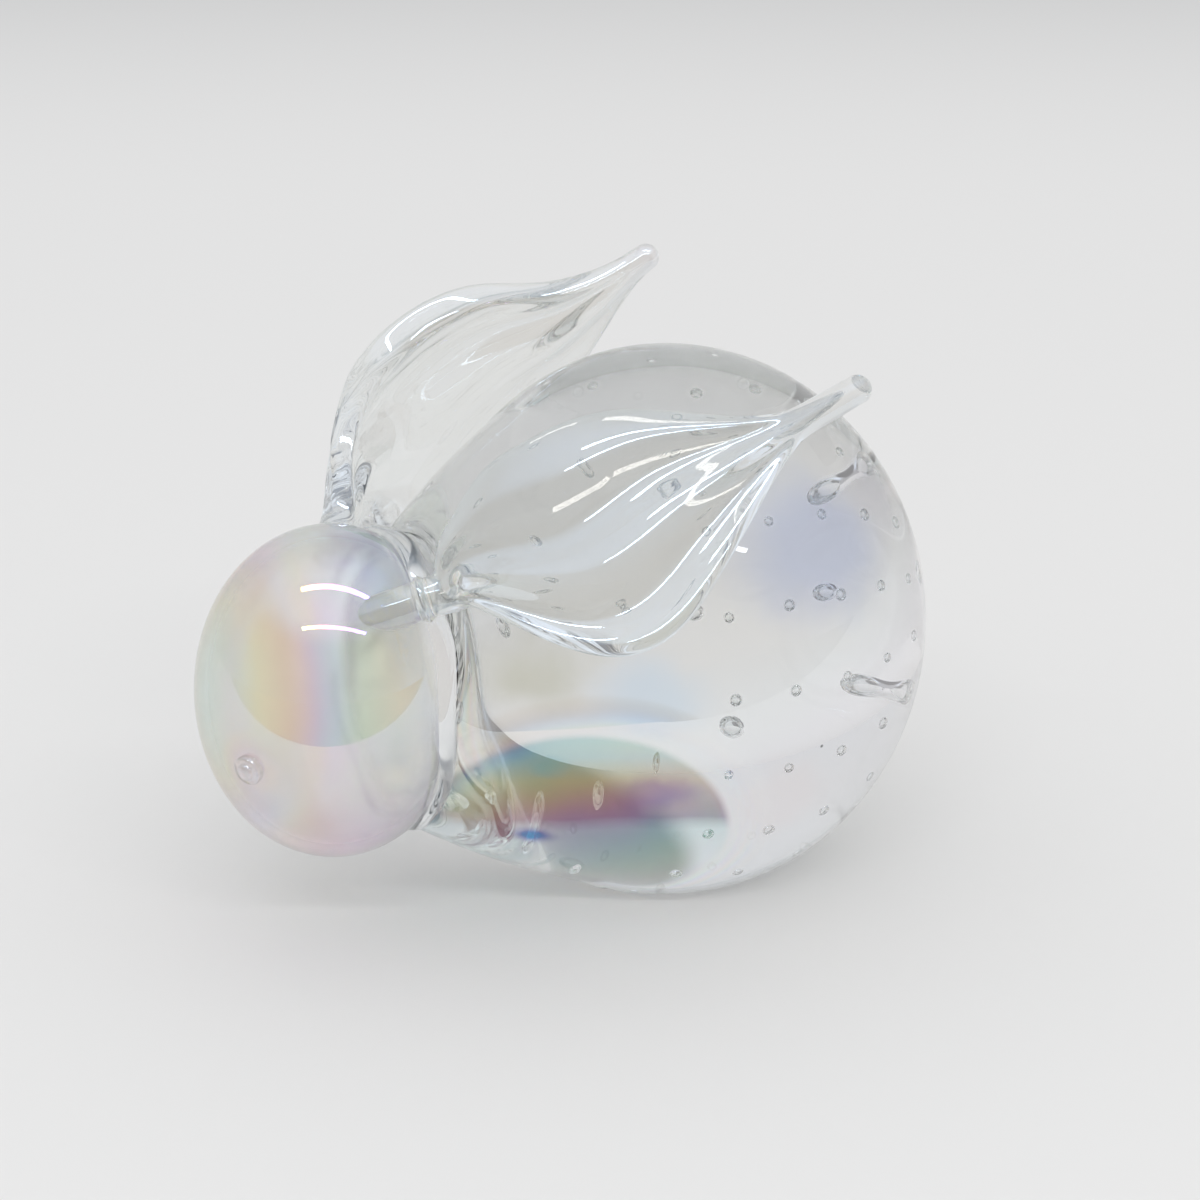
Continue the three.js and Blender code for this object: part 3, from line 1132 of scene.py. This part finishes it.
@dataclass
class Ear:
    """One leaf ear on a round stem, with the drop of glass that welds it to the head.

    Attributes:
        side: 1 for the rabbit's left and -1 for its right.
        seat_turn: Turn of the seat from the back of the head, in degrees.
        seat_rise: Rise of the seat above the head's middle, in degrees.
        lean: Lean of the foot towards the back, in degrees.
        path: Bearings from the front and rises of the middle line round the ball, in degrees.
        upper_edge: Direction that the upper edge faces.
    """

    name: str
    side: int
    seat_turn: float
    seat_rise: float
    lean: float
    tip_stand_off: float
    upper_reach: float
    lower_reach: float
    upper_peak: float
    lower_peak: float
    blade_share: float
    path: tuple[tuple[float, float], ...]
    upper_edge: Point
    root_stand_off: float = 12 * MM
    leaf_stand_off: float = 10.5 * MM
    root_power: int = 4
    tip_power: int = 8
    foot_radius: float = 3.1 * MM
    foot_rise: float = 0.7 * MM
    ring_width: float = 0.5 * MM
    weld_gap: float = 0.3 * MM
    stem_radius: float = 2.6 * MM
    tip_radius: float = 1.9 * MM
    half_thickness: float = 1.7 * MM
    fold: float = 1.2 * MM
    crease: float = -0.15
    crest_pitch: float = 0.8
    fullness: float = 0.4
    taper: float = 1.5
    rows: int = 180
    around: int = 160
    tip_rows: int = 14
    path_steps: int = 200
    foot_samples: int = 400
    foot_around: int = 96

    @property
    def foot_height(self) -> float:
        """Length of the foot along its lean, at which the low side of its top stands clear of the head."""
        lean = math.radians(self.lean)
        return self.weld_gap + (self.foot_rise + self.foot_radius * math.sin(lean)) / math.cos(lean)

    def seat(self, head: Head) -> tuple[np.ndarray, np.ndarray]:
        """Returns the point on the head where the ear stands and its way out, leaning towards the back."""
        point, outward = head.seat(self.side * math.radians(self.seat_turn), math.radians(self.seat_rise))
        back = unit(np.array([0, 1.0, 0]) - outward[1] * outward)
        lean = math.radians(self.lean)
        return point, math.cos(lean) * outward + math.sin(lean) * back

    def edge_reach(self, share: np.ndarray, full_reach: float, peak: float) -> np.ndarray:
        """Works out how far one edge of the leaf lies from the middle line.

        The reach is a skewed half sine to the power of the taper, joined to the round rod as the root of the
        sum of squares.

        Args:
            share: Shares of the ear's length from its root.
            full_reach: Furthest reach.
            peak: Share at which it is reached.

        Returns:
            The reach at each share.
        """
        skew = math.log(0.5) / math.log(peak / self.blade_share)
        wave = np.sin(np.pi * np.minimum(share / self.blade_share, 1) ** skew)
        rod = blend(self.stem_radius, self.tip_radius, share)
        return np.hypot(rod, full_reach * np.maximum(wave, 0) ** self.taper)

    def middle_line(self, head: Head, body: Body) -> np.ndarray:
        """Draws the ear's middle line from its root over the path round the ball.

        The line's distance from the ball starts at the root's and ends at the tip's. The first fades with a
        power of the share of the path that is left, and the second comes in with a power of the share done.

        Args:
            head: The head that it stands on.
            body: The ball that it sweeps back over.

        Returns:
            Samples along the line, one row each.
        """
        point, outward = self.seat(head)
        root = point + (self.foot_height + self.weld_gap) * outward
        stem_end = root + self.stem_radius * outward
        bearing, rise = np.radians(np.array(self.path)).T
        share = np.linspace(0, 1, len(bearing))
        from_root = (self.root_stand_off - self.leaf_stand_off) * (1 - share) ** self.root_power
        from_tip = (self.tip_stand_off - self.leaf_stand_off) * share ** self.tip_power
        reach = body.radius + self.leaf_stand_off + from_root + from_tip
        leaf = np.stack(
            [
                self.side * reach * np.cos(rise) * np.sin(bearing),
                -reach * np.cos(rise) * np.cos(bearing),
                body.height_ratio * reach * np.sin(rise) + body.centre_height,
            ],
            axis=1,
        )
        return smooth_path(np.vstack([root, stem_end, leaf]), self.path_steps)

    def skin(self, head: Head, body: Body) -> Skin:
        """Carries the folded leaf section along the middle line.

        A section stands square to the rod, and square to the whole ear where the blade is wide. From one edge
        to the other the face is lifted by a cosine: a rolled rim, a trough, a midrib, a crease and a lobe.

        Args:
            head: The head that it stands on.
            body: The ball that it sweeps back over.

        Returns:
            The surface.
        """
        line = self.middle_line(head, body)
        length = np.linalg.norm(np.diff(line, axis=0), axis=1).sum()
        cap = self.tip_radius / length
        turn = np.linspace(0, np.pi / 2, self.tip_rows, endpoint=False)[1:]
        share = np.concatenate([np.linspace(0, 1 - cap, self.rows), 1 - cap * (1 - np.sin(turn))])
        shrink = np.concatenate([np.ones(self.rows), np.cos(turn)])[:, None, None]
        steps = np.linspace(0, 1, len(line))
        centre = rows_at(share, steps, line)
        tangent = unit(rows_at(share, steps, unit(np.gradient(line, axis=0))))
        rod = blend(self.stem_radius, self.tip_radius, share)
        upper = self.edge_reach(share, self.upper_reach, self.upper_peak)[:, None]
        lower = self.edge_reach(share, self.lower_reach, self.lower_peak)[:, None]
        spread = 1 - 2 * rod / (upper + lower)[:, 0]
        whole = unit(line[-1] - line[0])
        along = unit(blend(tangent, whole, spread[:, None]))
        towards = np.array(self.upper_edge)
        edge = unit(towards - (along @ towards)[:, None] * along)
        face = np.cross(edge, along)
        fullness = (spread ** 2)[:, None]
        half_thickness = blend(rod[:, None], self.half_thickness, fullness)
        angle = round_turn(self.around)[None]
        across = np.cos(angle)
        thick = np.sign(np.sin(angle)) * np.abs(np.sin(angle)) ** (1 - self.fullness * fullness)
        lift = -self.fold * fullness * np.cos(2 * np.pi * (across - self.crease) / self.crest_pitch)
        out = edge[:, None, :] * (blend(lower, upper, (1 + across) / 2) * across)[..., None]
        up = face[:, None, :] * (half_thickness * thick + lift)[..., None]
        rings = centre[:, None, :] + shrink * (out + up)
        return Skin.of(rings[::-1], line[-1], line[0], welded=1)

    def foot(self, head: Head) -> Sheet:
        """Turns the drop at the root, a rod with a rounded ring near its top, and fuses it to the head.

        Args:
            head: The head that it stands on.

        Returns:
            Its faces.
        """
        top = self.foot_height + self.weld_gap
        height = np.linspace(top, -2 * self.foot_radius, self.foot_samples)
        away = (height - self.foot_height + self.ring_width) / (2 * self.ring_width)
        ring = np.cos(np.pi / 2 * np.clip(away, -1, 1)) ** 2
        outline = np.stack([blend(self.stem_radius, self.foot_radius, ring), height], axis=1)
        return fused_turning(self.seat(head), outline, self.foot_around, head)

    def build(self, head: Head, body: Body, finishes: Finishes) -> list[bpy.types.Object]:
        """Makes the leaf and its foot.

        Args:
            head: The head that it stands on.
            body: The ball that it sweeps back over.
            finishes: Material of each band.

        Returns:
            The two pieces.
        """
        leaf = self.skin(head, body).sheet().mesh(f"glass_ear_{self.name}")
        leaf.set_sharp_from_angle(angle=WELD_CREASE)
        drop = self.foot(head)
        drop.triangle_bands[:self.foot_around] = Band.WELD.value
        foot = drop.mesh(f"glass_ear_foot_{self.name}")
        foot.set_sharp_from_angle(angle=WELD_CREASE)
        return [
            place(leaf, finishes, [f"ear_{self.name}"]),
            place(foot, finishes, [f"ear_foot_{self.name}"]),
        ]


# Floor, light and camera


class Sight(Enum):
    """How a wall of the room is seen in the glass, by the name of its light path."""

    MIRRORED = "Is Glossy Ray"
    THROUGH = "Is Transmission Ray"


@dataclass(frozen=True)
class Wall:
    """A part of the room of one tone.

    Attributes:
        towards: Direction of its middle.
        edge: Cosine of the angle from the middle at which it ends.
        full: Cosine of the angle within which the tone is full.
        tone: Its colour.
        sight: How it is seen, both ways where there is none.
    """

    towards: Point
    edge: float
    full: float
    tone: Colour
    sight: Sight | None = None


# A sheet of the stage with its graph and its shader
Laid = tuple[bpy.types.Object, Graph, bpy.types.Node]


@dataclass
class Studio:
    """The pale floor, the soft room light with two strip lamps and the camera."""

    camera_place: Point = (0.336436, -0.204746, 0.179720)
    azimuth: float = math.radians(60)
    elevation: float = math.radians(20)
    lens: float = 90.72
    sensor: float = 36.0
    floor_half: float = 4.0
    floor_drop: float = 0.00002
    # Painted shade on the floor: where it starts and where it is full, going away from the camera, and its
    # dark paint far behind
    dim_from: float = -0.4
    dim_to: float = -1.3
    floor_near: Colour = (0.81, 0.81, 0.81)
    floor_painted_shade: Colour = (0.52, 0.525, 0.53)
    dark_paint: Colour = (0.1, 0.1, 0.1)
    dark_start: float = 0.115
    dark_lift: float = 0.0005
    lamp_width: float = 0.08
    lamp_power: float = 3.5
    overhead_place: Point = (0.26, -0.04, 1.0)
    overhead_length: float = 1.05
    front_place: Point = (0.91, -0.34, 1.0)
    front_length: float = 1.4
    near_clip: float = 0.01
    room: Colour = (0.5, 0.5, 0.51)
    walls: tuple[Wall, ...] = (
        Wall((0.77, -0.64, 0.0), 0.1, 0.45, (0.14, 0.14, 0.15), Sight.MIRRORED),
        Wall((0.77, -0.64, 0.0), 0.1, 0.45, (0.68, 0.68, 0.69), Sight.THROUGH),
        Wall((0.0, 0.0, 1.0), 0.5, 0.8, (0.82, 0.88, 0.98)),
        Wall((-0.9, 0.43, 0.1), 0.3, 0.6, (0.70, 0.71, 0.72)),
        Wall((-0.45, 0.80, 0.40), 0.82, 0.88, (0.26, 0.255, 0.26), Sight.THROUGH),
    )
    sky: Colour = (0.90, 0.90, 0.90)

    def build(self) -> None:
        """Makes the floor, the light and the camera."""
        self.floor()
        self.dark_floor()
        self.world()
        overhead = self.strip("strip_overhead", self.overhead_place, self.overhead_length)
        overhead.visible_diffuse = False
        self.strip("strip_front", self.front_place, self.front_length)
        self.camera()

    def front(self) -> np.ndarray:
        """Returns the level direction from the figurine to the camera."""
        return np.array([math.sin(self.azimuth), -math.cos(self.azimuth), 0])

    def lay(self, name: str, corners: np.ndarray, paint: Colour) -> Laid:
        """Lays a painted sheet of four corners as part of the stage.

        Args:
            name: Name of the sheet.
            corners: Its corners.
            paint: Its colour.

        Returns:
            The sheet, its graph and its shader.
        """
        mesh = Sheet.of_quads(corners, np.array([(0, 1, 2, 3)]), np.zeros(1)).mesh(name)
        material = bpy.data.materials.new(f"{name}_paint")
        graph = Graph.of(material)
        shader = graph.add("ShaderNodeBsdfPrincipled", {"Base Color": (*paint, 1), **MATT})
        graph.add("ShaderNodeOutputMaterial", {"Surface": shader.outputs["BSDF"]})
        mesh.materials.append(material)
        sheet = bpy.data.objects.new(name, mesh)
        bpy.context.scene.collection.objects.link(sheet)
        return sheet, graph, shader

    def floor(self) -> None:
        """Lays the pale floor, whose paint darkens far behind the figurine as painted shade in place of the
        light's falloff, for what the camera itself sees.
        """
        corners = self.floor_half * np.array([(-1, -1, 0), (1, -1, 0), (1, 1, 0), (-1, 1, 0)])
        corners[:, 2] = -self.floor_drop
        _, graph, shader = self.lay("floor", corners, self.floor_near)
        spot = graph.add("ShaderNodeTexCoord").outputs["Object"]
        depth = graph.vector("DOT_PRODUCT", spot, tuple(self.front()))
        seen = graph.add("ShaderNodeLightPath").outputs["Is Camera Ray"]
        dimmed = graph.sum("MULTIPLY", graph.fade(depth, self.dim_from, self.dim_to), seen)
        paint = graph.mix(dimmed, (*self.floor_near, 1), (*self.floor_painted_shade, 1))
        graph.tree.links.new(paint, shader.inputs["Base Color"])

    def dark_floor(self) -> None:
        """Lays the dim floor before the camera, which is mirrored in the glass and not seen otherwise."""
        right = np.array([math.cos(self.azimuth), math.sin(self.azimuth), 0])
        lift = np.array([0, 0, self.dark_lift])
        half = self.floor_half * right
        near, far = (reach * self.front() + lift for reach in (self.dark_start, self.floor_half))
        corners = np.array([near - half, far - half, far + half, near + half])
        sheet, _, _ = self.lay("dark_floor", corners, self.dark_paint)
        sheet.visible_camera = False
        sheet.visible_diffuse = False
        sheet.visible_shadow = False
        sheet.visible_transmission = False

    def world(self) -> None:
        """Lights the floor with an even sky, while the glass shows a room of walls laid one by one."""
        world = bpy.data.worlds.new("room")
        bpy.context.scene.world = world
        graph = Graph.of(world)
        direction = graph.add("ShaderNodeTexCoord").outputs["Generated"]
        light = graph.add("ShaderNodeLightPath").outputs
        colour = (*self.room, 1.0)
        for wall in self.walls:
            facing = graph.vector("DOT_PRODUCT", direction, tuple(unit(np.array(wall.towards))))
            share = graph.fade(facing, wall.edge, wall.full)
            if wall.sight:
                share = graph.sum("MULTIPLY", share, light[wall.sight.value])
            colour = graph.mix(share, colour, (*wall.tone, 1.0))
        colour = graph.mix(light["Diffuse Depth"], colour, (*self.sky, 1.0))
        background = graph.add("ShaderNodeBackground", {"Color": colour})
        graph.add("ShaderNodeOutputWorld", {"Surface": background.outputs["Background"]})

    def strip(self, name: str, middle: Point, length: float) -> bpy.types.Object:
        """Hangs a strip lamp that shines straight down, along the camera's right, mirrored in the glass.

        Args:
            name: Name of the lamp.
            middle: Its middle.
            length: Its length.

        Returns:
            The lamp.
        """
        data = bpy.data.lights.new(name, "AREA")
        data.shape = "RECTANGLE"
        data.size = length
        data.size_y = self.lamp_width
        data.energy = self.lamp_power * length
        lamp = bpy.data.objects.new(name, data)
        lamp.location = middle
        lamp.rotation_euler = (0, 0, self.azimuth)
        lamp.visible_transmission = False
        bpy.context.scene.collection.objects.link(lamp)
        return lamp

    def camera(self) -> None:
        """Sets the camera at the photograph's angle."""
        data = bpy.data.cameras.new("camera")
        data.lens = self.lens
        data.sensor_width = self.sensor
        data.clip_start = self.near_clip
        camera = bpy.data.objects.new("camera", data)
        camera.location = self.camera_place
        camera.rotation_euler = (math.pi / 2 - self.elevation, 0, self.azimuth)
        bpy.context.scene.collection.objects.link(camera)
        bpy.context.scene.camera = camera


# The figurine

BODY_RUN = Run(mm(0, 0, 0), mm(0, -32.7, 76))
HEAD_RUN = Run(mm(0, -72, 41), mm(0, -42.4, 37.4))
EAR_RUN = Run(mm(0, -50, 50), mm(0, 36, 76))

PALE = ((0.0, (0.98, 0.99, 0.99)), (1.0, (0.99, 0.99, 0.98)))
INNER = Glass("inner_wall", BODY_RUN, PALE)
HOLLOW = Glass("hollow_wall", HEAD_RUN, ((0.0, (1.0, 1.0, 1.0)), (1.0, (1.0, 1.0, 0.99))), roughness=0.2)
GROUND = Glass(
    "ground_flat",
    BODY_RUN,
    tints=((0.0, (0.93, 0.94, 0.94)), (1.0, (0.95, 0.95, 0.95))),
    roughness=0.7,
    clearness=0.5,
)
CLEAR = Glass(
    "clear_glass",
    EAR_RUN,
    tints=(
        (0.0, (0.93, 0.95, 0.94)),
        (0.7, (0.95, 0.96, 0.95)),
        (0.9, (0.95, 0.92, 0.97)),
        (1.0, (0.95, 0.97, 0.91)),
    ),
    film=((0.0, 30), (0.75, 40), (0.9, 160), (1.0, 320)),
)
BODY = Glass(
    "pearl_body",
    BODY_RUN,
    tints=(
        (0.0, (0.96, 0.97, 0.98)),
        (0.2, (0.96, 0.94, 0.95)),
        (0.32, (0.93, 0.93, 0.97)),
        (0.42, (0.90, 0.94, 0.94)),
        (0.52, (0.90, 0.90, 0.86)),
        # Painted shade: from here towards the top the tones turn grey and darker, where the ball shows its
        # shadow on the floor through the glass
        (0.7, (0.76, 0.78, 0.75)),
        (1.0, (0.68, 0.71, 0.71)),
    ),
    waver=0.05,
    film=((0.0, 490), (0.5, 180), (0.6, 120), (1.0, 60)),
    film_oval=Oval(mm(24, -26, 15), mm(34, 26, 24), core=0.6),
    # Iridescent film colours darkened with painted shade where the glass shows the dark room and the ball's
    # shaded underside
    leaf=Leaf(
        oval=Oval(mm(22, -27, 13.5), mm(30, 20, 18.5), core=0.93),
        run=Run(mm(26.1, -27.1, 32.7), mm(32.9, -31, 11.2)),
        tints=(
            (0.0, (0.55, 0.66, 0.60)),
            (0.06, (0.40, 0.60, 0.50)),
            (0.2, (0.30, 0.48, 0.52)),
            (0.33, (0.42, 0.40, 0.24)),
            (0.48, (0.29, 0.22, 0.17)),
            (0.55, (0.26, 0.19, 0.20)),
            (0.63, (0.70, 0.85, 0.86)),
            (0.8, (0.84, 0.94, 0.94)),
            (1.0, (0.92, 0.95, 0.95)),
        ),
    ),
    patches=(
        # The first four ovals lie in the leaf: film colours with painted shade, the darkest one painted shade
        # alone
        Patch(mm(29.5, -19.5, 22.5), mm(9, 8, 4), tone=(0.12, 0.11, 0.15), ragged=2 * MM),
        Patch(mm(18.2, -31.3, 15.1), mm(4.5, 4.5, 2.4), tone=(0.0, 0.12, 0.40), ragged=1.5 * MM),
        Patch(mm(22.5, -31, 27), mm(4, 4, 2), tone=(0.15, 0.40, 0.50), ragged=1.5 * MM),
        Patch(mm(15.9, -39.2, 20.9), mm(8, 6, 4), tone=(0.62, 0.68, 0.50), ragged=2 * MM),
        # Painted shadow: a lilac oval where the ball shows its own shadow on the floor behind it through the
        # glass
        Patch(mm(30.8, 4.5, 52.9), mm(15, 17, 13), tone=(0.52, 0.59, 0.80), ragged=3 * MM),
        # Painted shade: grey and yellow-grey ovals where the ball shows the shaded floor behind it through
        # the glass
        Patch(mm(22, 18, 55), mm(10, 10, 8), tone=(0.60, 0.60, 0.64), core=0.2, ragged=3 * MM),
        Patch(mm(18, -31, 39), mm(12, 12, 8), tone=(0.56, 0.56, 0.42), core=0.2, ragged=3 * MM),
        Patch(mm(30, -20, 36), mm(11, 11, 7), tone=(0.68, 0.83, 0.96), core=0.2, ragged=3 * MM),
        Patch(mm(33.4, -2.6, 19.5), mm(9, 9, 9), tone=(0.98, 0.90, 0.90), ragged=3 * MM),
        Patch(mm(35.4, 2.5, 26.8), mm(0.35, 0.35, 0.35), tone=(0.05, 0.05, 0.05)),
    ),
)
HEAD = Glass(
    "pearl_head",
    HEAD_RUN,
    tints=(
        (0.0, (0.84, 0.97, 1.0)),
        (0.12, (0.80, 1.0, 0.96)),
        (0.22, (1.0, 0.97, 0.70)),
        (0.31, (1.0, 0.83, 0.66)),
        (0.39, (1.0, 0.77, 0.84)),
        (0.48, (0.88, 0.85, 1.0)),
        (0.6, (0.92, 1.0, 0.88)),
        (0.75, (1.0, 1.0, 0.82)),
        (1.0, (1.0, 1.0, 0.98)),
    ),
    film=((0.0, 110), (0.28, 170), (0.35, 186), (0.45, 246), (0.54, 268), (0.75, 302), (1.0, 312)),
    clearness=0.88,
    patches=(
        # Painted light: the bottom of the head lighter and pinker, for the bright floor seen through it and
        # mirrored in it
        Patch(mm(10, -58, 17), mm(17, 17, 14), tone=(1.0, 0.91, 1.0)),
        # Painted reflection: the top of the head bluer, for the bluish ceiling mirrored in it
        Patch(mm(5, -48, 54), mm(15, 15, 9), tone=(0.84, 1.0, 1.0)),
    ),
    pulls=(Pull(mm(8.3, -66.5, 28.3), 6 * MM, 0.25),),
)

LEFT_EAR = Ear(
    name="left",
    side=1,
    seat_turn=79,
    seat_rise=42,
    lean=48,
    tip_stand_off=12.5 * MM,
    upper_reach=17.3 * MM,
    lower_reach=14.1 * MM,
    upper_peak=0.34,
    lower_peak=0.38,
    blade_share=0.85,
    path=((24.7, 22.1), (44.4, 27), (60.5, 37.5), (80.8, 44.9), (113.1, 49.4)),
    upper_edge=(-0.66, -0.04, 0.75),
)
RIGHT_EAR = Ear(
    name="right",
    side=-1,
    seat_turn=63,
    seat_rise=44,
    lean=15,
    tip_stand_off=17 * MM,
    upper_reach=12.4 * MM,
    lower_reach=22 * MM,
    upper_peak=0.46,
    lower_peak=0.41,
    blade_share=1,
    path=((29.2, 26.4), (54.9, 29), (74.2, 39.7), (93.6, 44.8), (118.3, 52.2)),
    upper_edge=(0.06, -0.03, 1),
)


def main() -> None:
    """Builds the figurine piece by piece, then the studio."""
    logging.basicConfig(level=logging.INFO, format="%(name)s %(message)s")
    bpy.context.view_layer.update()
    scene = bpy.context.scene
    scene.view_settings.view_transform = "Standard"
    scene.cycles.max_bounces = MOST_PASSES
    scene.cycles.transmission_bounces = MOST_PASSES
    scene.cycles.glossy_bounces = MOST_MIRRORINGS
    shared = {
        Band.WELD: weld_material(),
        Band.INSIDE: INNER.material(),
        Band.GROUND: GROUND.material(),
        Band.HOLLOW: HOLLOW.material(),
    }
    body_finishes = {Band.GLASS: BODY.material(), **shared}
    head_finishes = {Band.GLASS: HEAD.material(), **shared}
    ear_finishes = {Band.GLASS: CLEAR.material(), **shared}
    head = Head()
    body = Body(head.weld_rim())
    collar = Collar(head.weld_rim(), head.weld)
    body.build(body_finishes, collar, head)
    head.build(head_finishes, collar)
    head.nose(ear_finishes)
    collar.build(ear_finishes, head, body)
    for ear in (LEFT_EAR, RIGHT_EAR):
        ear.build(head, body, ear_finishes)
    Studio().build()


if __name__ == "__main__":
    main()
